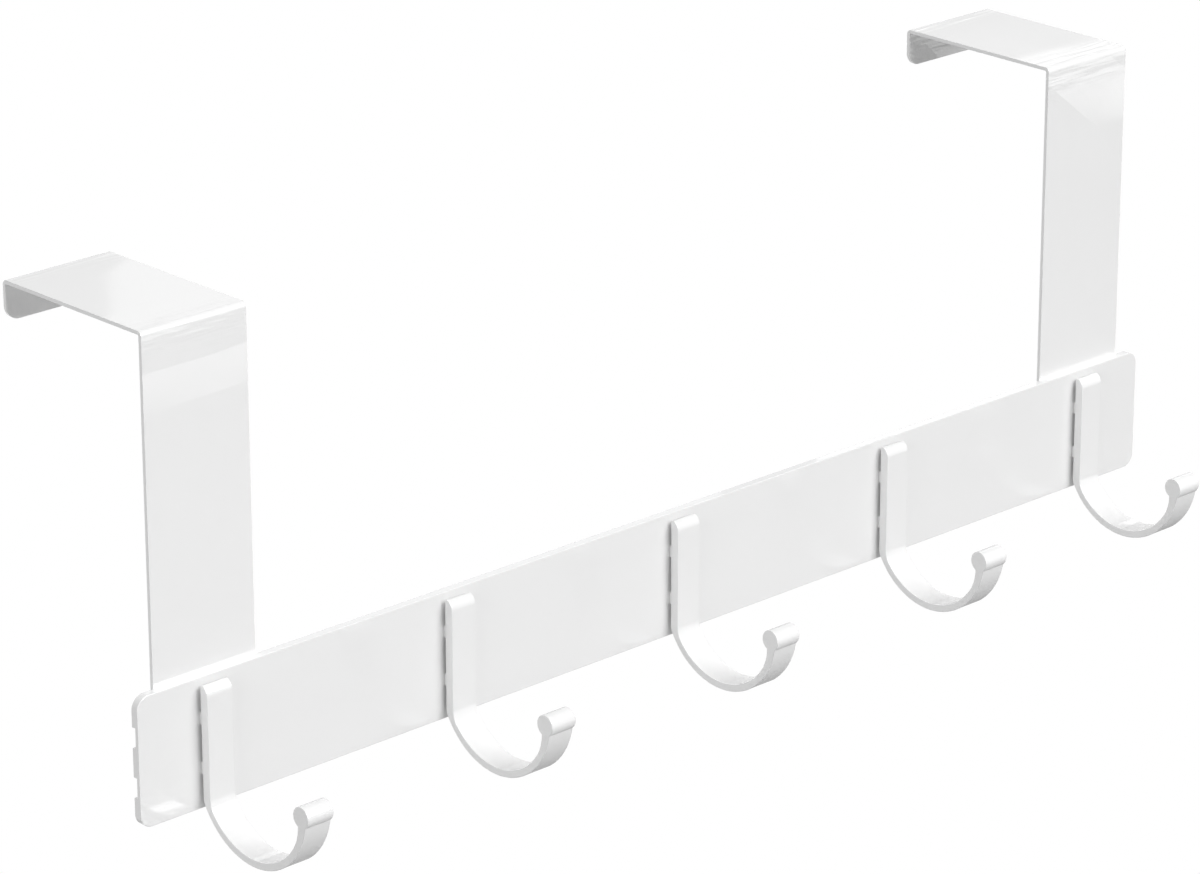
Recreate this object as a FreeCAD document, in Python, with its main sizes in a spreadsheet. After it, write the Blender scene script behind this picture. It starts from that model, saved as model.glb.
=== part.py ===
"""Over door hook rail: two bent straps hang over a door and carry a grooved rail with five J hooks.

Frame: X runs along the rail and is 0 at its middle, Y points into the door and is 0 at its front face,
and Z points up and is 0 on the door's top edge, where the straps rest. All sizes are in millimetres.
"""
import FreeCAD, Part
import math
import os
import Sketcher
from FreeCAD import Vector

SIZES = (
    ("rail_length", 300.0, "rail: length"),
    ("rail_height", 28.6, "rail: height"),
    ("rail_thickness", 1.8, "rail: overall thickness"),
    ("rail_corner", 3.0, "rail: radius of its four corners"),
    ("rail_edge", 0.15, "rail: rounding of the front edges"),
    ("groove_depth", 1.0, "rail: depth of the two grooves in its back"),
    ("head_room", 0.35, "rail: room in a groove above and below a screw head"),
    ("groove_offset", 5.45, "rail: groove centre from the rail's middle height"),
    ("strap_sheet", 0.8, "strap: thickness of the sheet"),
    ("strap_width", 26.4, "strap: width"),
    ("door_gap", 42.6, "strap: clear distance between its two legs"),
    ("strap_bend", 0.3, "strap: inside radius of the bends"),
    ("back_leg", 8.0, "strap: length of the short leg below the door's top"),
    ("strap_corner", 3.2, "strap: radius of the corners at both ends"),
    ("rail_drop", 75.3, "strap: from its highest face down to the rail's upper edge"),
    ("foot_margin", 1.6, "strap: from its foot down to the rail's lower edge"),
    ("dimple_wall", 0.35, "strap: dimple around the screw hole where it meets the rail's web"),
    ("hook_count", 5, "hooks: how many"),
    ("hook_inset", 18.8, "hooks: centre of an end hook from the rail's end"),
    ("hook_width", 6.6, "hook: width of the slice"),
    ("hook_edge", 0.15, "hook: rounding of the cut edges"),
    ("rib_reach", 0.75, "hook: how far the ribs hold the shank off the rail"),
    ("rib_wall", 0.3, "hook: wall of a rib above and below its screw hole"),
    ("rib_inset", 0.4, "hook: how far a rib's end lies inside the cut face"),
    ("shank_thickness", 2.15, "hook: thickness of the shank"),
    ("shank_step", 1.2, "hook: from the rail's upper edge down to the shank's top"),
    ("crest_radius", 0.6, "hook: radius from the shank's rounded top into its back"),
    ("bowl_radius", 17.0, "hook: outer radius of the bowl"),
    ("bowl_tuck", 1.8, "hook: how far the bowl's full circle would pass behind the shank's back"),
    ("bowl_rise", 9.4, "hook: bowl centre above the rail's lower edge"),
    ("strip_thickness", 1.65, "hook: thickness of the bowl"),
    ("front_blend", 5.0, "hook: radius from the shank's front into the bowl"),
    ("back_blend", 3.0, "hook: radius from the shank's back into the bowl"),
    ("neck_turn", 33.6, "hook: angle below level at which the neck's inside leaves the bowl's"),
    ("neck_swell", 1.3, "hook: how much thicker than the bowl the neck is at the bulb"),
    ("bulb_radius", 2.35, "hook: radius of the bulb, centred on the bowl's inside"),
    ("bulb_dip", 4.3, "hook: angle of the bulb below the bowl's centre"),
    ("tip_blend", 0.35, "hook: radius in the two corners under the bulb"),
    ("screw_radius", 1.0, "screws: radius of the shank"),
    ("screw_tip", 0.3, "screws: chamfer at the tip"),
    ("screw_head", 1.9, "screws: radius of the head"),
    ("countersink", 90.0, "screws: angle of a countersunk head and of its seat"),
    ("low_head", 0.75, "screws: height of a low head"),
    ("head_chamfer", 0.2, "screws: chamfer around a low head"),
    ("hole_floor", 0.4, "hook: wall between a screw hole and the shank's front"),
    ("hole_spare", 0.4, "hook: how much deeper than the screw its hole is"),
    ("thread_gap", 0.05, "hook: clearance around a screw in its hole"),
    ("pass_gap", 0.15, "rail and strap: clearance around a screw that passes through"),
    ("seat_gap", 0.04, "strap: clearance around a countersunk head"),
    ("recess_width", 0.55, "screws: width of the cross recess"),
    ("recess_span", 2.1, "screws: span of the cross recess"),
    ("recess_depth", 0.4, "screws: depth of the cross recess"),
)
MIDDLE = "(Sizes.strap_sheet - Sizes.rail_drop - Sizes.rail_height / 2)"
END_HOOK = "(Sizes.rail_length / 2 - Sizes.hook_inset)"
PITCH = f"(2 * {END_HOOK} / (Sizes.hook_count - 1))"
RAIL_FRONT = "(-Sizes.strap_sheet - Sizes.rail_thickness)"
WEB = "(Sizes.rail_thickness - Sizes.groove_depth)"
PASS_RADIUS = "(Sizes.screw_radius + Sizes.pass_gap)"
GROOVE_HALF = "(Sizes.screw_head + Sizes.head_room)"
RIB_HALF = "(Sizes.screw_radius + Sizes.thread_gap + Sizes.rib_wall)"
HOLE_DEPTH = "(Sizes.rib_reach + Sizes.shank_thickness - Sizes.hole_floor)"
BOWL_OUT = "(Sizes.bowl_radius + Sizes.rib_reach - Sizes.bowl_tuck)"
BOWL_DOWN = "(Sizes.rail_height / 2 - Sizes.bowl_rise)"
INNER = "(Sizes.bowl_radius - Sizes.strip_thickness)"
PINCH = f"({INNER} - Sizes.neck_swell)"
NECK_SHIFT = f"(({INNER}^2 - {PINCH}^2) / 2 / ({INNER} - {PINCH} * cos(Sizes.neck_turn - Sizes.bulb_dip)))"
START, END, CENTRE = range(1, 4)
ACROSS_AXIS, UP_AXIS = range(-1, -3, -1)
ORIGIN = (ACROSS_AXIS, START)
TOUCH = 0.001
TURN = 2 * math.pi


def make_sheet(doc):
    """Puts the driving dimensions in a sheet, each under its own name."""
    sheet = doc.addObject("Spreadsheet::Sheet", "Sizes")
    for row, (name, value, meaning) in enumerate(SIZES, start=1):
        sheet.set(f"A{row}", meaning)
        sheet.set(f"B{row}", str(value))
        sheet.setAlias(f"B{row}", name)
    doc.recompute()
    return sheet


def new_body(doc, name):
    body = doc.addObject("PartDesign::Body", name)
    body.Label = name
    body.AllowCompound = True
    return body


def place(body, along="0", into="0", up="0"):
    """Ties a sub-part's place to the sheet."""
    body.setExpression("Placement.Base.x", along)
    body.setExpression("Placement.Base.y", into)
    body.setExpression("Placement.Base.z", up)


def origin_part(body, role):
    """One of the body's own origin planes or axes."""
    return next(part for part in body.Origin.OriginFeatures if part.Role == role)


def new_sketch(body, name, role, lift="0"):
    """A sketch on one of the body's origin planes, or lifted off it."""
    sketch = body.newObject("Sketcher::SketchObject", name)
    sketch.AttachmentSupport = [(origin_part(body, role), "")]
    sketch.MapMode = "FlatFace"
    sketch.setExpression("AttachmentOffset.Base.z", lift)
    return sketch


def worth(sketch, size):
    """The number that an expression stands for."""
    return float(sketch.evalExpression(size))


def pin(sketch, kind, *what, size):
    """Adds a dimension to a sketch and ties it to the sheet."""
    index = sketch.addConstraint(Sketcher.Constraint(kind, *what, worth(sketch, size)))
    sketch.setExpression(f"Constraints[{index}]", size)


def hold(sketch, kind, *what):
    """Adds a constraint that has no dimension."""
    sketch.addConstraint(Sketcher.Constraint(kind, *what))


def line(start, end, smooth=False):
    """An edge of an outline: its shape, its two ends as they are walked, and whether it runs smoothly on."""
    return Part.LineSegment(Vector(*start, 0), Vector(*end, 0)), START, END, smooth


def arc(centre, radius, first, last, smooth=True):
    """A round edge of an outline, walked from the angle first to the angle last."""
    circle = Part.Circle(Vector(*centre, 0), Vector(0, 0, 1), radius)
    if last > first:
        return Part.ArcOfCircle(circle, first, last), START, END, smooth
    return Part.ArcOfCircle(circle, last, first), END, START, smooth


def draw_outline(sketch, edges):
    """Draws a closed outline, its edges joined end to end, and tangent where they run smoothly on."""
    for shape, *_ in edges:
        sketch.addGeometry(shape, False)
    for number, (_, _, last, smooth) in enumerate(edges):
        following = (number + 1) % len(edges)
        hold(sketch, "Tangent" if smooth else "Coincident", number, last, following, edges[following][1])


def draw_polygon(sketch, corners):
    """Draws a closed outline of straight sides, each corner tied to the sheet by its coordinates."""
    spots = [(worth(sketch, across), worth(sketch, up)) for across, up in corners]
    draw_outline(sketch, [line(a, b) for a, b in zip(spots, spots[1:] + spots[:1])])
    for number, (across, up) in enumerate(corners):
        pin(sketch, "DistanceX", *ORIGIN, number, START, size=across)
        pin(sketch, "DistanceY", *ORIGIN, number, START, size=up)


def draw_box(sketch, left, bottom, right, top):
    draw_polygon(sketch, [(left, bottom), (right, bottom), (right, top), (left, top)])


def draw_circle(sketch, number, across, up, radius):
    spot = Vector(worth(sketch, across), worth(sketch, up), 0)
    sketch.addGeometry(Part.Circle(spot, Vector(0, 0, 1), worth(sketch, radius)))
    pin(sketch, "Radius", number, size=radius)
    pin(sketch, "DistanceX", *ORIGIN, number, CENTRE, size=across)
    pin(sketch, "DistanceY", *ORIGIN, number, CENTRE, size=up)


def pad(body, name, sketch, length, midplane=False):
    feature = body.newObject("PartDesign::Pad", name)
    feature.Profile = sketch
    feature.Midplane = midplane
    feature.setExpression("Length", length)
    body.Document.recompute()
    return feature


def pocket(body, name, sketch, depth=None, reverse=False):
    """Cuts a sketch to a depth, or right through both ways, and makes sure that it cut."""
    before = body.Shape.Volume
    feature = body.newObject("PartDesign::Pocket", name)
    feature.Profile = sketch
    feature.Reversed = reverse
    if depth:
        feature.setExpression("Length", depth)
    else:
        feature.Type = "ThroughAll"
        feature.Midplane = True
    body.Document.recompute()
    if not body.Shape.Volume < before:
        raise ValueError(f"{name} cuts nothing from {body.Label}")
    return feature


def mirror_down(body, name, originals):
    """Repeats features below the body's own level plane."""
    feature = body.newObject("PartDesign::Mirrored", name)
    feature.Originals = originals
    feature.MirrorPlane = (origin_part(body, "XY_Plane"), [""])
    body.Tip = feature
    body.Document.recompute()


def repeat_grid(body, originals, count, span):
    """Repeats features along the rail, and once more in the lower groove."""
    grid = body.newObject("PartDesign::MultiTransform", "Grid")
    grid.Originals = originals
    row = body.newObject("PartDesign::LinearPattern", "Row")
    row.Direction = (origin_part(body, "X_Axis"), [""])
    row.setExpression("Length", span)
    row.setExpression("Occurrences", count)
    lower = body.newObject("PartDesign::LinearPattern", "Lower")
    lower.Direction = (origin_part(body, "Z_Axis"), [""])
    lower.Reversed = True
    lower.setExpression("Length", "2 * Sizes.groove_offset")
    lower.Occurrences = 2
    grid.Transformations = [row, lower]
    body.Tip = grid
    body.Document.recompute()


def round_edges(body, name, radius, chosen):
    """Rounds the edges that the test picks from the body's last feature."""
    base = body.Tip
    names = [f"Edge{number}" for number, edge in enumerate(base.Shape.Edges, start=1) if chosen(edge)]
    feature = body.newObject("PartDesign::Fillet", name)
    feature.Base = (base, names)
    feature.setExpression("Radius", radius)
    body.Document.recompute()


def runs_into_door(edge):
    """Whether an edge is straight and runs along Y."""
    return isinstance(edge.Curve, Part.Line) and abs(edge.Curve.Direction.y) > 1 - TOUCH


def in_front_face(edge, thickness):
    """Whether an edge lies in the front face of a plate."""
    return max(abs(edge.BoundBox.YMin + thickness), abs(edge.BoundBox.YMax + thickness)) < TOUCH


def in_cut_face(edge, half):
    """Whether an edge lies in either end face of a slice that is half wide to each side."""
    return edge.BoundBox.XLength < TOUCH and abs(abs(edge.BoundBox.XMin) - half) < TOUCH


def lower_meeting(centre_a, radius_a, centre_b, radius_b):
    """Where two circles cross, below the way from the first centre out to the second."""
    across = Vector(*centre_b, 0) - Vector(*centre_a, 0)
    along = (radius_a ** 2 - radius_b ** 2 + across.Length ** 2) / (2 * across.Length)
    aside = math.sqrt(radius_a ** 2 - along ** 2)
    unit = across / across.Length
    point = Vector(*centre_a, 0) + unit * along + Vector(-unit.y, unit.x, 0) * aside
    return point.x, point.y


def out_and_down(centre, distance, angle):
    """The point at a distance from a centre, out from the rail and at an angle in degrees below level."""
    turn = math.radians(angle)
    return centre[0] - distance * math.cos(turn), centre[1] - distance * math.sin(turn)


def below(centre, radius, across):
    """The point of a circle's lower half at a distance across."""
    return across, centre[1] - math.sqrt(radius ** 2 - (across - centre[0]) ** 2)


def bearing(centre, point):
    """The angle from a centre to a point, from 0 to a full turn."""
    return math.atan2(point[1] - centre[1], point[0] - centre[0]) % TURN


def make_rail(doc, sheet):
    """A plate with rounded corners, two grooves along its back and a pair of screw holes at each hook."""
    body = new_body(doc, "rail")
    face = new_sketch(body, "RailFace", "XZ_Plane")
    end, edge = "Sizes.rail_length / 2", "Sizes.rail_height / 2"
    draw_box(face, f"-{end}", f"-{edge}", end, edge)
    pad(body, "Plate", face, "Sizes.rail_thickness")
    round_edges(body, "Corners", "Sizes.rail_corner", runs_into_door)
    round_edges(body, "FrontEdges", "Sizes.rail_edge", lambda side: in_front_face(side, sheet.rail_thickness))

    groove = new_sketch(body, "GrooveEnd", "YZ_Plane")
    low, high = (f"Sizes.groove_offset {sign} {GROOVE_HALF}" for sign in "-+")
    draw_box(groove, "-Sizes.groove_depth", low, "0", high)
    mirror_down(body, "Grooves", [pocket(body, "Groove", groove)])

    hole = new_sketch(body, "ScrewHole", "XZ_Plane")
    draw_circle(hole, 0, f"-{END_HOOK}", "Sizes.groove_offset", PASS_RADIUS)
    repeat_grid(body, [pocket(body, "Hole", hole)], "Sizes.hook_count", f"2 * {END_HOOK}")
    place(body, into="-Sizes.strap_sheet", up=MIDDLE)
    return body


def draw_strap(sketch, sheet):
    """The bent strip from the side: long leg, bend, top plate, bend, short leg."""
    thick, gap, bend = sheet.strap_sheet, sheet.door_gap, sheet.strap_bend
    foot = thick - sheet.rail_drop - sheet.rail_height + sheet.foot_margin
    front, back = (bend, -bend), (gap - bend, -bend)
    draw_outline(sketch, [
        line((-thick, foot), (0, foot)),
        line((0, foot), (0, -bend), True),
        arc(front, bend, TURN / 2, TURN / 4),
        line((bend, 0), (gap - bend, 0), True),
        arc(back, bend, TURN / 4, 0),
        line((gap, -bend), (gap, -sheet.back_leg)),
        line((gap, -sheet.back_leg), (gap + thick, -sheet.back_leg)),
        line((gap + thick, -sheet.back_leg), (gap + thick, -bend), True),
        arc(back, bend + thick, 0, TURN / 4),
        line((gap - bend, thick), (bend, thick), True),
        arc(front, bend + thick, TURN / 4, TURN / 2),
        line((-thick, -bend), (-thick, foot)),
    ])
    (foot_end, leg, bend_in, seat, bend_back, short_leg, short_end, short_back, round_back, _, round_front,
     leg_front) = range(12)
    for level in (foot_end, seat, short_end):
        hold(sketch, "Horizontal", level)
    for upright in (leg, short_leg, short_back, leg_front):
        hold(sketch, "Vertical", upright)
    hold(sketch, "Coincident", bend_in, CENTRE, round_front, CENTRE)
    hold(sketch, "Coincident", bend_back, CENTRE, round_back, CENTRE)
    hold(sketch, "PointOnObject", leg, END, UP_AXIS)
    hold(sketch, "PointOnObject", seat, START, ACROSS_AXIS)
    for number in (bend_in, bend_back):
        pin(sketch, "Radius", number, size="Sizes.strap_bend")
    for number in (foot_end, short_end):
        pin(sketch, "DistanceX", number, START, number, END, size="Sizes.strap_sheet")
    pin(sketch, "DistanceX", leg, START, short_leg, END, size="Sizes.door_gap")
    pin(sketch, "DistanceY", short_leg, END, *ORIGIN, size="Sizes.back_leg")
    drop = "Sizes.rail_drop + Sizes.rail_height - Sizes.foot_margin - Sizes.strap_sheet"
    pin(sketch, "DistanceY", foot_end, END, *ORIGIN, size=drop)


def draw_screw_pair(sketch, radius):
    """Two circles, one above the other, at the screws of one hook."""
    for number, sign in enumerate("+-"):
        draw_circle(sketch, number, "0", f"{MIDDLE} {sign} Sizes.groove_offset", radius)


def make_strap(doc, sheet, name, side):
    """A bent strip, with two pressed dimples that sink the screw heads towards the rail's web."""
    body = new_body(doc, name)
    profile = new_sketch(body, "StrapSide", "YZ_Plane")
    draw_strap(profile, sheet)
    pad(body, "Strip", profile, "Sizes.strap_width", midplane=True)
    thick = sheet.strap_sheet + TOUCH
    round_edges(body, "Ends", "Sizes.strap_corner", lambda edge: runs_into_door(edge) and edge.Length < thick)

    rim = "(Sizes.screw_head + Sizes.seat_gap)"
    dimple = new_sketch(body, "DimpleRims", "XZ_Plane", lift="Sizes.strap_sheet")
    draw_screw_pair(dimple, rim)
    dimples = pad(body, "Dimples", dimple, "Sizes.groove_depth")
    narrowing = f"({rim} - {PASS_RADIUS} - Sizes.dimple_wall)"
    dimples.setExpression("TaperAngle", f"-atan({narrowing} / Sizes.groove_depth)")

    seats = new_sketch(body, "ScrewSeats", "XZ_Plane")
    draw_screw_pair(seats, PASS_RADIUS)
    doc.recompute()
    before = body.Shape.Volume
    hole = body.newObject("PartDesign::Hole", "Countersinks")
    hole.Profile = seats
    hole.ThreadType = "None"
    hole.DepthType = "ThroughAll"
    hole.HoleCutType = "Countersink"
    hole.Reversed = True
    hole.setExpression("HoleCutCountersinkAngle", "Sizes.countersink")
    hole.setExpression("Diameter", f"2 * {PASS_RADIUS}")
    hole.setExpression("HoleCutDiameter", f"2 * {rim}")
    doc.recompute()
    if not body.Shape.Volume < before:
        raise ValueError(f"the screw seats cut nothing from {name}")
    place(body, along=f"{side} * {END_HOOK}")
    return body


def draw_hook(sketch, sheet):
    """The J section: shank, bowl, neck and bulb, with the rail's front at 0 across and its middle at 0 up."""
    back = -sheet.rib_reach
    front = back - sheet.shank_thickness
    outer, inner, neck_shift = sheet.bowl_radius, worth(sketch, INNER), worth(sketch, NECK_SHIFT)
    neck, bulb, small, crest = inner - neck_shift, sheet.bulb_radius, sheet.tip_blend, sheet.crest_radius
    bowl_at = (-worth(sketch, BOWL_OUT), -worth(sketch, BOWL_DOWN))
    bulb_at = out_and_down(bowl_at, inner, sheet.bulb_dip)
    neck_at = out_and_down(bowl_at, neck_shift, sheet.neck_turn)
    back_at = below(bowl_at, outer - sheet.back_blend, back - sheet.back_blend)
    front_at = below(bowl_at, inner - sheet.front_blend, front - sheet.front_blend)
    lip_at = lower_meeting(bowl_at, outer + small, bulb_at, bulb + small)
    notch_at = lower_meeting(neck_at, neck - small, bulb_at, bulb + small)
    crown_at = (back, sheet.rail_height / 2 - sheet.shank_step - sheet.shank_thickness)
    crest_at = (back - crest, crown_at[1] + math.sqrt((sheet.shank_thickness - crest) ** 2 - crest ** 2))
    draw_outline(sketch, [
        line((back, crest_at[1]), (back, back_at[1]), True),
        arc(back_at, sheet.back_blend, TURN, bearing(bowl_at, back_at)),
        arc(bowl_at, outer, bearing(bowl_at, back_at), bearing(bowl_at, lip_at)),
        arc(lip_at, small, bearing(lip_at, bowl_at), bearing(lip_at, bulb_at)),
        arc(bulb_at, bulb, bearing(bulb_at, lip_at), bearing(bulb_at, notch_at) - TURN),
        arc(notch_at, small, bearing(notch_at, bulb_at), bearing(neck_at, notch_at)),
        arc(neck_at, neck, bearing(neck_at, notch_at), bearing(bowl_at, neck_at)),
        arc(bowl_at, inner, bearing(bowl_at, neck_at), bearing(bowl_at, front_at)),
        arc(front_at, sheet.front_blend, bearing(bowl_at, front_at), TURN),
        line((front, front_at[1]), (front, crown_at[1]), True),
        arc(crown_at, sheet.shank_thickness, TURN / 2, bearing(crown_at, crest_at)),
        arc(crest_at, crest, bearing(crown_at, crest_at), 0),
    ])
    (back_line, back_bend, bowl, lip, bulb_arc, notch, neck_arc, cradle, front_bend, front_line, crown,
     crest_arc) = range(12)
    hold(sketch, "Vertical", back_line)
    hold(sketch, "Vertical", front_line)
    hold(sketch, "Coincident", bowl, CENTRE, cradle, CENTRE)
    hold(sketch, "PointOnObject", crown, CENTRE, back_line)
    radii = {back_bend: "Sizes.back_blend", bowl: "Sizes.bowl_radius", lip: "Sizes.tip_blend",
             bulb_arc: "Sizes.bulb_radius", notch: "Sizes.tip_blend", neck_arc: f"{INNER} - {NECK_SHIFT}",
             cradle: INNER, front_bend: "Sizes.front_blend", crown: "Sizes.shank_thickness",
             crest_arc: "Sizes.crest_radius"}
    for number, size in radii.items():
        pin(sketch, "Radius", number, size=size)
    outwards = {bowl: BOWL_OUT, bulb_arc: f"{BOWL_OUT} + {INNER} * cos(Sizes.bulb_dip)"}
    for number, size in outwards.items():
        pin(sketch, "DistanceX", number, CENTRE, *ORIGIN, size=size)
    downwards = {bowl: BOWL_DOWN, bulb_arc: f"{BOWL_DOWN} + {INNER} * sin(Sizes.bulb_dip)",
                 neck_arc: f"{BOWL_DOWN} + {NECK_SHIFT} * sin(Sizes.neck_turn)"}
    for number, size in downwards.items():
        pin(sketch, "DistanceY", number, CENTRE, *ORIGIN, size=size)
    pin(sketch, "DistanceX", back_line, START, *ORIGIN, size="Sizes.rib_reach")
    crown_up = "Sizes.rail_height / 2 - Sizes.shank_step - Sizes.shank_thickness"
    pin(sketch, "DistanceY", *ORIGIN, crown, CENTRE, size=crown_up)


def make_hook(doc, sheet, number):
    """A slice of the J section with rounded cut edges, two ribs and two blind screw holes."""
    body = new_body(doc, f"hook_{number}")
    profile = new_sketch(body, "HookSide", "YZ_Plane")
    draw_hook(profile, sheet)
    pad(body, "Slice", profile, "Sizes.hook_width", midplane=True)
    round_edges(body, "CutEdges", "Sizes.hook_edge", lambda edge: in_cut_face(edge, sheet.hook_width / 2))

    rib_side = new_sketch(body, "RibSide", "YZ_Plane")
    low, high = (f"Sizes.groove_offset {sign} {RIB_HALF}" for sign in "-+")
    draw_box(rib_side, "-Sizes.rib_reach", low, "0", high)
    rib = pad(body, "Rib", rib_side, "Sizes.hook_width - 2 * Sizes.rib_inset", midplane=True)

    bore = new_sketch(body, "BoreEnd", "XZ_Plane")
    draw_circle(bore, 0, "0", "Sizes.groove_offset", "Sizes.screw_radius + Sizes.thread_gap")
    blind = pocket(body, "Bore", bore, HOLE_DEPTH, reverse=True)
    mirror_down(body, "LowerRib", [rib, blind])
    place(body, along=f"{PITCH} * ({number} - (Sizes.hook_count + 1) / 2)", into=RAIL_FRONT, up=MIDDLE)
    return body


def screw_shank(length):
    """The straight and pointed end of a screw's half outline, down to its length."""
    return [("Sizes.screw_radius", f"Sizes.screw_tip - {length}"),
            ("Sizes.screw_radius - Sizes.screw_tip", f"-{length}"), ("0", f"-{length}")]


def make_screws(doc, name, head, shank, top, count, span):
    """Equal screws in two rows: one turned screw with a cross recess, repeated along the rail."""
    body = new_body(doc, name)
    half = new_sketch(body, "HalfScrew", "XY_Plane")
    draw_polygon(half, head + shank)
    turned = body.newObject("PartDesign::Revolution", "Turned")
    turned.Profile = half
    turned.ReferenceAxis = (half, ["V_Axis"])
    doc.recompute()
    slots = []
    narrow, wide = "Sizes.recess_width / 2", "Sizes.recess_span / 2"
    for label, across, up in (("LevelSlot", wide, narrow), ("UprightSlot", narrow, wide)):
        slot = new_sketch(body, f"{label}Outline", "XZ_Plane", lift=f"-{top}")
        draw_box(slot, f"-{across}", f"-{up}", across, up)
        slots.append(pocket(body, label, slot, "Sizes.recess_depth", reverse=True))
    repeat_grid(body, [turned] + slots, count, span)
    return body


def make_rail_screws(doc):
    """Low-head screws at the hooks between the straps, with their heads in the rail's grooves."""
    head = [("0", "Sizes.low_head"), ("Sizes.screw_head - Sizes.head_chamfer", "Sizes.low_head"),
            ("Sizes.screw_head", "Sizes.low_head - Sizes.head_chamfer"), ("Sizes.screw_head", "0"),
            ("Sizes.screw_radius", "0")]
    shank = screw_shank(f"({WEB} + {HOLE_DEPTH} - Sizes.hole_spare)")
    span = f"2 * ({END_HOOK} - {PITCH})"
    body = make_screws(doc, "rail_screws", head, shank, "Sizes.low_head", "Sizes.hook_count - 2", span)
    into = "-Sizes.strap_sheet - Sizes.groove_depth"
    place(body, along=f"-({END_HOOK} - {PITCH})", into=into, up=f"{MIDDLE} + Sizes.groove_offset")
    return body


def make_strap_screws(doc):
    """Countersunk screws at the end hooks, flush with the back of the straps."""
    cone = "(Sizes.screw_head - Sizes.screw_radius) / tan(Sizes.countersink / 2)"
    head = [("0", "0"), ("Sizes.screw_head", "0"), ("Sizes.screw_radius", f"-{cone}")]
    shank = screw_shank(f"({HOLE_DEPTH} - Sizes.hole_spare - {RAIL_FRONT})")
    body = make_screws(doc, "strap_screws", head, shank, "0", "2", f"2 * {END_HOOK}")
    place(body, along=f"-{END_HOOK}", up=f"{MIDDLE} + Sizes.groove_offset")
    return body


def write_parts(doc, bodies):
    """Makes sure that everything is sound, then writes one file for each sub-part."""
    for item in doc.Objects:
        faults = {"Invalid", "Error"} & set(item.State)
        if faults:
            raise ValueError(f"{item.Label}: {faults}")
    for body in bodies:
        if body.Shape.isNull() or not body.Shape.isValid():
            raise ValueError(f"{body.Label} has no valid shape")
    os.makedirs("parts", exist_ok=True)
    for body in bodies:
        body.Shape.exportStep(f"parts/{body.Label}.step")
        print(f"{body.Label}: {len(body.Shape.Solids)} solid, {body.Shape.Volume:.2f} mm3")


def main():
    doc = FreeCAD.newDocument("over_door_hook")
    sheet = make_sheet(doc)
    bodies = [make_rail(doc, sheet)]
    bodies += [make_strap(doc, sheet, name, side) for name, side in (("strap_left", -1), ("strap_right", 1))]
    bodies += [make_hook(doc, sheet, number + 1) for number in range(int(sheet.hook_count))]
    bodies += [make_rail_screws(doc), make_strap_screws(doc)]
    doc.recompute()
    write_parts(doc, bodies)


main()
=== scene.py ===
"""The over door hook rail in its finishes, in a plain studio, seen from the photograph's angle, in metres."""
import math
import bpy
from mathutils import Matrix, Vector


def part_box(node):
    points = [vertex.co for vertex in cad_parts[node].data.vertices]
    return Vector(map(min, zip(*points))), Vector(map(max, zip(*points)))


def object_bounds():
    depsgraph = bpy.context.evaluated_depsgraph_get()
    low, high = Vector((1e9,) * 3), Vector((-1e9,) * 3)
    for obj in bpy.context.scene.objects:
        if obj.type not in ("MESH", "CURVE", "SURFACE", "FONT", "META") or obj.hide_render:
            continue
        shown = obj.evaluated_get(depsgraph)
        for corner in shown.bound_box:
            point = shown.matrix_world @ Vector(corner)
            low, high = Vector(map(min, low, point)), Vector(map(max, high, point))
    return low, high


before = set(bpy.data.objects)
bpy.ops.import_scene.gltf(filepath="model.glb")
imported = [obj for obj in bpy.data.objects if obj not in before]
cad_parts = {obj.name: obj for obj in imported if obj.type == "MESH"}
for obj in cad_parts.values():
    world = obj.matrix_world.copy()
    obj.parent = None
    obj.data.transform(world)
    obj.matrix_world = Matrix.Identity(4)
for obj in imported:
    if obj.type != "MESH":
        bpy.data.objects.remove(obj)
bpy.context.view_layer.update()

MM = 0.001

HOOKS = [f"hook_{number}" for number in range(1, 6)]
SCREWS = ["rail_screws", "strap_screws"]

# The photograph's camera, fitted to the object's straight edges: its angles in degrees, its focal length and
# axis in pixels, and where and how far away the middle of the rail's lower front edge appears.
IMAGE_WIDTH = 1200
IMAGE_HEIGHT = 874
CAMERA_AZIMUTH = -43.227
CAMERA_ELEVATION = 20.500
CAMERA_ROLL = -0.093
FOCAL_PIXELS = 5120.3
AXIS_PIXEL = (594.94, 435.05)
RAIL_FOOT_PIXEL = (679.14, 631.55)
RAIL_FOOT_DISTANCE = 1.12104
SENSOR_WIDTH = 36.0

# The white coating, with the sizes of the spots in its colour and gloss, of the slow waves in the metal under
# it, and of its own faint flow texture.
COATING_WHITE = 0.82
COATING_CLOUD = 0.006
COATING_IOR = 2.2
CLOUD_SIZE = 14 * MM
GLOSS_SIZE = 5 * MM
WAVE_SIZE = 16 * MM
FLOW_SIZE = 0.9 * MM
FLOW_DEPTH = 0.001 * MM

# For each coated piece: how the flow texture is scaled along each axis, the radius of the soft edges, the
# least and greatest roughness, and the depth of the slow waves.
RAIL_COATING = ((0.05, 1, 1), 0.08 * MM, (0.03, 0.05), 0.004 * MM)
STRAP_COATING = ((1, 1, 1), 0.10 * MM, (0.05, 0.08), 0.02 * MM)
HOOK_COATING = ((1, 1, 1), 0.08 * MM, (0.05, 0.08), 0.004 * MM)

# What bending leaves in a strap. Its top plate starts at the door's front, at y 0, and ends at its back bend.
# It is crowned within a reach of each bend, and the creases fade between two distances from a bend.
BACK_BEND = 43.4 * MM
CROWN_REACH = 12 * MM
CROWN_DROP = 0.17 * MM
CREASE_SIZE = 1.5 * MM
CREASE_SCALE = (0.10, 1, 1)
CREASE_DEPTH = 0.16 * MM
CREASES_FADE = (1 * MM, 8 * MM)

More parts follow.
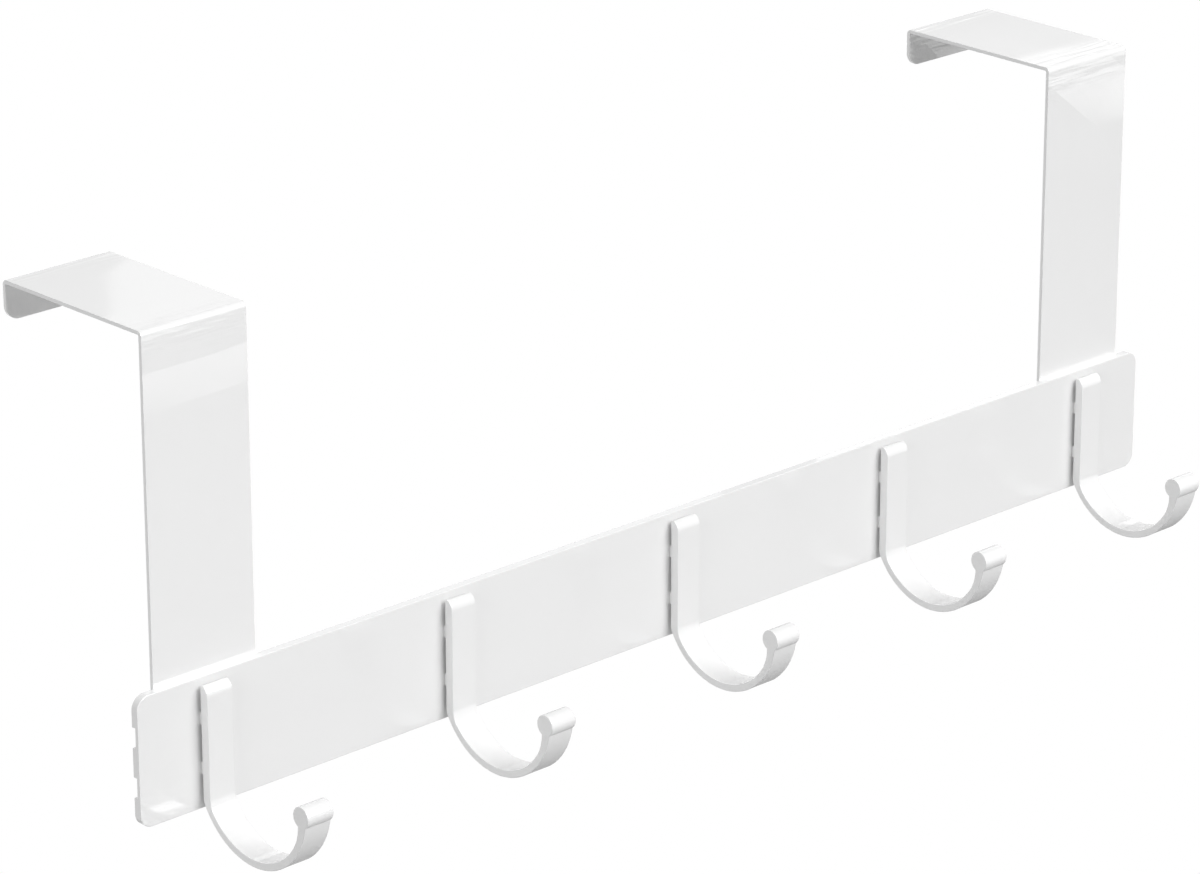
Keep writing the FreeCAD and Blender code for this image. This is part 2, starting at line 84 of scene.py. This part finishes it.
# The waves down each strap's leg: where the first one starts, as x and z, and their slant in degrees, length
# and depth. They begin where the bend ends, wander a little, and fade between two distances down the leg.
LEG_WAVES = {"left": ((-131.2 * MM, -8.0 * MM), 0, 15.0 * MM, 0.21 * MM),
             "right": ((131.2 * MM, 6.0 * MM), 40, 28.0 * MM, 0.335 * MM)}
WAVE_AT_SCALE_ONE = math.pi / 10
BEND_END = 1.5 * MM
LEG_WAVES_WANDER = 1.5
LEG_WAVES_FADE = (16 * MM, 29 * MM)

# The screws' zinc plating.
ZINC_GREY = (0.60, 0.60, 0.61)
ZINC_SHADE = 0.85
ZINC_CLOUD_SIZE = 1.2 * MM
ZINC_ROUGHNESS = (0.28, 0.45)
ZINC_EDGE = 0.08 * MM
ZINC_GRAIN_SIZE = 0.15 * MM
ZINC_GRAIN_DEPTH = 0.004 * MM

# The floor, with its sides and ends as x and y and its depth below the object, and the sky's strength overhead.
FLOOR_GREY = 0.5
FLOOR_ROUGHNESS = 0.9
FLOOR_SIDES = (-2.6, 2.6)
FLOOR_ENDS = (-2.2, 0.85)
FLOOR_DEPTH = 0.79
SKY_TOP = 0.37

# For each lamp: the place that it is aimed at, its azimuth and elevation from there in degrees, its distance,
# width and height in metres, and its watts. The straps' tops mirror the two panels behind them.
RAIL_PLACE = (0, 0, 0)
FLOOR_PLACE = (1.5, -1.6, -0.9)
LEFT_STRAP_PLACE = (-0.1312, 0, 0)
RIGHT_STRAP_PLACE = (0.1312, 0, 0)
LAMPS = {"high_front_light": (RAIL_PLACE, 15, 50, 2.2, 1.6, 1.6, 18.5),
         "low_front_light": (RAIL_PLACE, 15, 30, 2.2, 1.6, 1.6, 33.0),
         "left_fill": (RAIL_PLACE, -75, 12, 2.2, 1.6, 1.6, 15.8),
         "back_light": (RAIL_PLACE, 180, 3, 2.2, 1.6, 1.6, 19.0),
         "floor_light": (FLOOR_PLACE, 0, 90, 0.7, 1.0, 1.0, 2.9),
         "left_panel": (LEFT_STRAP_PLACE, 137.1, 18.7, 1.5, 0.30, 0.36, 0.115),
         "right_panel": (RIGHT_STRAP_PLACE, 130.5, 23.7, 1.5, 0.30, 0.36, 0.250)}


class Nodes:
    """The nodes of a material or a world."""

    def __init__(self, owner):
        owner.use_nodes = True
        self.nodes = owner.node_tree.nodes
        self.links = owner.node_tree.links

    def add(self, kind, inputs=(), **settings):
        """Adds a node, with its settings, and with inputs given as values or as other nodes' outputs."""
        node = self.nodes.new(kind)
        for name, value in settings.items():
            setattr(node, name, value)
        for name, value in dict(inputs).items():
            self.feed(node.inputs[name], value)
        return node

    def feed(self, socket, value):
        """Sets an input to a value or links it to another node's output."""
        if isinstance(value, bpy.types.NodeSocket):
            self.links.new(value, socket)
        else:
            socket.default_value = value

    def combine(self, operation, first, second):
        """One number worked out from two."""
        return self.add("ShaderNodeMath", {0: first, 1: second}, operation=operation).outputs["Value"]

    def split(self, vector):
        """The three parts of a vector, under the names X, Y and Z."""
        return self.add("ShaderNodeSeparateXYZ", {"Vector": vector}).outputs


class Material(Nodes):
    """A material that starts as one Principled shader."""

    def __init__(self, name):
        self.material = bpy.data.materials.new(name)
        super().__init__(self.material)
        self.shader = self.nodes["Principled BSDF"]

    def place(self):
        """The object's own coordinates."""
        return self.add("ShaderNodeTexCoord").outputs["Object"]

    def noise(self, size, scale=(1, 1, 1), detail=2.0):
        """Noise with spots about as large as the size, and longer along an axis that is scaled down."""
        mapping = self.add("ShaderNodeMapping", {"Vector": self.place(), "Scale": scale})
        inputs = {"Vector": mapping.outputs["Vector"], "Scale": 1 / size, "Detail": detail}
        return self.add("ShaderNodeTexNoise", inputs).outputs["Fac"]

    def spread(self, value, low, high):
        """Maps a value from 0 to 1 on to a range."""
        inputs = {"Value": value, "To Min": low, "To Max": high}
        return self.add("ShaderNodeMapRange", inputs).outputs["Result"]

    def fade(self, distance, start, end):
        """Falls softly from 1 at the start to 0 at the end."""
        inputs = {"Value": distance, "From Min": start, "From Max": end, "To Min": 1.0, "To Max": 0.0}
        return self.add("ShaderNodeMapRange", inputs, interpolation_type="SMOOTHSTEP").outputs["Result"]

    def grey(self, value):
        """A grey of a given lightness."""
        inputs = {"Red": value, "Green": value, "Blue": value}
        return self.add("ShaderNodeCombineColor", inputs).outputs["Color"]

    def rounded(self, radius):
        """The surface with its sharp edges rounded off by a small radius."""
        return self.add("ShaderNodeBevel", {"Radius": radius}, samples=6).outputs["Normal"]

    def raised(self, surface, height, depth, strength=1.0):
        """The surface raised by a height map."""
        inputs = {"Normal": surface, "Height": height, "Distance": depth, "Strength": strength}
        return self.add("ShaderNodeBump", inputs).outputs["Normal"]


def make_coating(name, flow_scale, edge, roughness, wave_depth, leg_waves=None):
    """A glossy white coating: nearly even, with a faint flow texture over the slow waves of the metal."""
    coat = Material(name)
    darkest, lightest = COATING_WHITE - COATING_CLOUD, COATING_WHITE + COATING_CLOUD
    white = coat.spread(coat.noise(CLOUD_SIZE), darkest, lightest)
    coat.feed(coat.shader.inputs["Base Color"], coat.grey(white))
    coat.feed(coat.shader.inputs["Roughness"], coat.spread(coat.noise(GLOSS_SIZE), *roughness))
    coat.shader.inputs["IOR"].default_value = COATING_IOR
    surface = coat.raised(coat.rounded(edge), coat.noise(WAVE_SIZE, detail=0.0), wave_depth)
    if leg_waves:
        surface = add_bend_marks(coat, surface, leg_waves)
    flow = coat.noise(FLOW_SIZE, flow_scale, detail=1.0)
    coat.feed(coat.shader.inputs["Normal"], coat.raised(surface, flow, FLOW_DEPTH))
    return coat.material


def add_bend_marks(coat, surface, leg_waves):
    """Adds what bending leaves in a strap: a crowned top, slow waves down the leg and creases at the bends."""
    along = coat.split(coat.place())
    down_leg = coat.combine("MULTIPLY", along["Z"], -1.0)
    on_top = coat.combine("MINIMUM", along["Y"], coat.combine("SUBTRACT", BACK_BEND, along["Y"]))
    surface = coat.raised(surface, top_crown(coat, on_top), CROWN_DROP)
    surface = add_leg_waves(coat, surface, down_leg, *leg_waves)
    from_bend = coat.combine("MAXIMUM", on_top, down_leg)
    return coat.raised(surface, bend_creases(coat, from_bend), CREASE_DEPTH)


def top_crown(coat, on_top):
    """The height of a strap's top plate, which falls ever faster towards each bend."""
    inputs = {"Value": on_top, "From Max": CROWN_REACH, "To Min": 1.0, "To Max": 0.0}
    nearness = coat.add("ShaderNodeMapRange", inputs).outputs["Result"]
    return coat.combine("SUBTRACT", 1.0, coat.combine("MULTIPLY", nearness, nearness))


def add_leg_waves(coat, surface, down_leg, start, slant, length, depth):
    """Waves down a leg below its bend, level or slanting across it."""
    across, up = start
    turn = (0, math.radians(slant), 0)
    inputs = {"Vector": coat.place(), "Location": (across, 0, up), "Rotation": turn}
    slanted = coat.add("ShaderNodeMapping", inputs, vector_type="TEXTURE").outputs["Vector"]
    scale = WAVE_AT_SCALE_ONE / length
    inputs = {"Vector": slanted, "Scale": scale, "Distortion": LEG_WAVES_WANDER, "Detail": 1.0}
    bands = coat.add("ShaderNodeTexWave", inputs, bands_direction="Z", wave_profile="TRI").outputs["Fac"]
    waves = coat.combine("MULTIPLY", bands, coat.fade(down_leg, *LEG_WAVES_FADE))
    on_leg = coat.combine("SUBTRACT", 1.0, coat.fade(down_leg, 0, BEND_END))
    return coat.raised(surface, waves, depth, on_leg)


def bend_creases(coat, from_bend):
    """Fine creases along a bend, where the sheet was stretched, that fade out away from it."""
    streaks = coat.combine("SUBTRACT", coat.noise(CREASE_SIZE, CREASE_SCALE), 0.5)
    return coat.combine("MULTIPLY", streaks, coat.fade(from_bend, *CREASES_FADE))


def make_zinc(name):
    """Zinc plating: a metal with a faintly mottled tint and gloss, soft edges and a fine grain."""
    zinc = Material(name)
    cloud = zinc.noise(ZINC_CLOUD_SIZE, detail=4.0)
    shaded = [ZINC_SHADE * part for part in ZINC_GREY]
    inputs = {"Factor": cloud, "A": (*shaded, 1), "B": (*ZINC_GREY, 1)}
    tint = zinc.add("ShaderNodeMix", inputs, data_type="RGBA")
    zinc.feed(zinc.shader.inputs["Base Color"], tint.outputs["Result"])
    zinc.feed(zinc.shader.inputs["Roughness"], zinc.spread(cloud, *ZINC_ROUGHNESS))
    zinc.shader.inputs["Metallic"].default_value = 1.0
    grain = zinc.raised(zinc.rounded(ZINC_EDGE), zinc.noise(ZINC_GRAIN_SIZE), ZINC_GRAIN_DEPTH)
    zinc.feed(zinc.shader.inputs["Normal"], grain)
    return zinc.material


def dress(pieces, material):
    """Gives carried-over pieces a material."""
    for name in pieces:
        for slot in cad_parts[name].material_slots:
            slot.material = material


def make_floor():
    """A plain pale floor below the hanging rail, out of the photograph's frame."""
    low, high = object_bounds()
    bpy.ops.mesh.primitive_plane_add(size=1)
    floor = bpy.context.object
    floor.name = "floor"
    (left, right), (front, back) = FLOOR_SIDES, FLOOR_ENDS
    floor.data.transform(Matrix.Diagonal((right - left, back - front, 1, 1)))
    middle = ((left + right) / 2, (front + back) / 2, low.z - FLOOR_DEPTH)
    floor.data.transform(Matrix.Translation(middle))
    pale = Material("pale_floor")
    pale.shader.inputs["Base Color"].default_value = (FLOOR_GREY, FLOOR_GREY, FLOOR_GREY, 1)
    pale.shader.inputs["Roughness"].default_value = FLOOR_ROUGHNESS
    floor.data.materials.append(pale.material)


def light_world():
    """Soft light that grows from none straight below to the most straight above, with a white background."""
    world = bpy.data.worlds.new("studio")
    bpy.context.scene.world = world
    sky = Nodes(world)
    height = sky.split(sky.add("ShaderNodeTexCoord").outputs["Generated"])["Z"]
    inputs = {"Value": height, "From Min": -1, "To Max": SKY_TOP}
    light = sky.add("ShaderNodeMapRange", inputs).outputs["Result"]
    path = sky.add("ShaderNodeLightPath").outputs
    seen = path["Is Camera Ray"]
    for kind in ("Is Glossy Ray", "Is Transmission Ray"):
        seen = sky.combine("MAXIMUM", seen, path[kind])
    strength = sky.add("ShaderNodeMix", {"Factor": seen, "A": light, "B": 1.0}).outputs["Result"]
    background = sky.nodes["Background"]
    background.inputs["Color"].default_value = (1, 1, 1, 1)
    sky.feed(background.inputs["Strength"], strength)


def direction_to(azimuth, elevation):
    """A direction from the rail, with azimuth 0 in front of it, 90 at its right end and -90 at its left."""
    azimuth, elevation = math.radians(azimuth), math.radians(elevation)
    return Vector((math.sin(azimuth) * math.cos(elevation), -math.cos(azimuth) * math.cos(elevation),
                   math.sin(elevation)))


def add_lamp(name, place, azimuth, elevation, distance, width, height, watts):
    """A rectangular soft lamp that shines on a place from one side, out of every picture."""
    lamp = bpy.data.lights.new(name, "AREA")
    lamp.shape = "RECTANGLE"
    lamp.size, lamp.size_y = width, height
    lamp.energy = watts
    holder = bpy.data.objects.new(name, lamp)
    towards = direction_to(azimuth, elevation)
    holder.visible_camera = False
    holder.location = Vector(place) + towards * distance
    holder.rotation_euler = towards.to_track_quat("Z", "Y").to_euler()
    bpy.context.scene.collection.objects.link(holder)


def make_camera():
    """The photograph's camera, set by where the middle of the rail's lower front edge lands in the frame."""
    low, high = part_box("rail")
    rail_foot = Vector(((low.x + high.x) / 2, low.y, low.z))
    ahead = -direction_to(CAMERA_AZIMUTH, CAMERA_ELEVATION)
    azimuth, roll = math.radians(CAMERA_AZIMUTH), math.radians(CAMERA_ROLL)
    level = Vector((math.cos(azimuth), math.sin(azimuth), 0))
    upright = level.cross(ahead)
    right = math.cos(roll) * level + math.sin(roll) * upright
    up = math.cos(roll) * upright - math.sin(roll) * level
    across = (RAIL_FOOT_PIXEL[0] - AXIS_PIXEL[0]) / FOCAL_PIXELS * RAIL_FOOT_DISTANCE
    below = (RAIL_FOOT_PIXEL[1] - AXIS_PIXEL[1]) / FOCAL_PIXELS * RAIL_FOOT_DISTANCE
    data = bpy.data.cameras.new("camera")
    data.sensor_width = SENSOR_WIDTH
    data.lens = FOCAL_PIXELS / IMAGE_WIDTH * SENSOR_WIDTH
    data.shift_x = (IMAGE_WIDTH / 2 - AXIS_PIXEL[0]) / IMAGE_WIDTH
    data.shift_y = (AXIS_PIXEL[1] - IMAGE_HEIGHT / 2) / IMAGE_WIDTH
    camera = bpy.data.objects.new("camera", data)
    eye = rail_foot - across * right + below * up - RAIL_FOOT_DISTANCE * ahead
    turn = Matrix((right, up, -ahead)).transposed().to_4x4()
    camera.matrix_world = Matrix.Translation(eye) @ turn
    bpy.context.scene.collection.objects.link(camera)
    bpy.context.scene.camera = camera


dress(["rail"], make_coating("coated_rail", *RAIL_COATING))
for side, waves_down_leg in LEG_WAVES.items():
    dress([f"strap_{side}"], make_coating(f"coated_{side}_strap", *STRAP_COATING, waves_down_leg))
dress(HOOKS, make_coating("coated_hook", *HOOK_COATING))
dress(SCREWS, make_zinc("zinc_plating"))
make_floor()
light_world()
for lamp_name, setting in LAMPS.items():
    add_lamp(lamp_name, *setting)
make_camera()
bpy.context.scene.view_settings.view_transform = "Standard"
